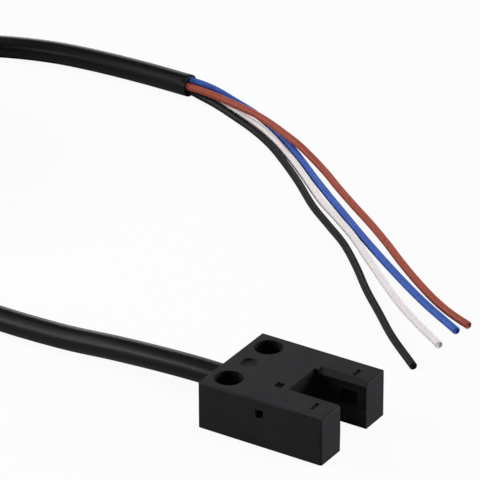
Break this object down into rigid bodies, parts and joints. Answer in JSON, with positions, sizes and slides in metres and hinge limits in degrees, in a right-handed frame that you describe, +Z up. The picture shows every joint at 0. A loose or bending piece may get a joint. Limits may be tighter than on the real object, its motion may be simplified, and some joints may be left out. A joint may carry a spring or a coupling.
{
  "type": "fork photoelectric sensor",
  "caption": "Slim black fork sensor with a through-beam slot, mounting holes behind it, and a thin black cable ending in open coloured wires.",
  "frame": {"origin": "centre of the block's underside, its mounting face, on the floor", "axes": "+X towards the fork tips, +Y towards the receiver prong, +Z up from the mounting face"},
  "size_m": [0.1125, 0.0694, 0.0097],
  "materials": {
    "housing_black": "fine moulded texture, nearly matte",
    "window_smoke": "smooth dark infrared-passing plastic",
    "board_green": "solder-mask satin",
    "opto_dark": "smooth moulded resin",
    "led_cream": "smooth resin",
    "chip_black": "moulded epoxy",
    "capacitor_tan": "fired ceramic",
    "sleeve_steel": "plain rolled",
    "jacket_black": "satin vinyl",
    "tie_black": "satin nylon",
    "wire_brown": "satin vinyl",
    "wire_blue": "satin vinyl",
    "wire_white": "satin vinyl",
    "wire_black": "satin vinyl"
  },
  "bodies": {
    "root": {"housing": "housing_black", "bottom_cover": "housing_black", "emitter_window": "window_smoke", "receiver_window": "window_smoke", "light_guide": "window_smoke", "circuit_board": "board_green", "emitter": "opto_dark", "receiver": "opto_dark", "indicator_led": "led_cream", "control_ic": "chip_black", "output_transistor_1": "chip_black", "output_transistor_2": "chip_black", "resistor_1": "chip_black", "resistor_2": "chip_black", "resistor_3": "chip_black", "resistor_4": "chip_black", "capacitor": "capacitor_tan", "zener_diode": "chip_black", "crimp_sleeve": "sleeve_steel", "brown_core": "wire_brown", "blue_core": "wire_blue", "white_core": "wire_white", "black_core": "wire_black", "cable_lead": "jacket_black", "cable_coil": "jacket_black", "cable_tail": "jacket_black", "coil_tie": "tie_black", "brown_wire": "wire_brown", "blue_wire": "wire_blue", "white_wire": "wire_white", "black_wire": "wire_black"}
  },
  "joints": []
}
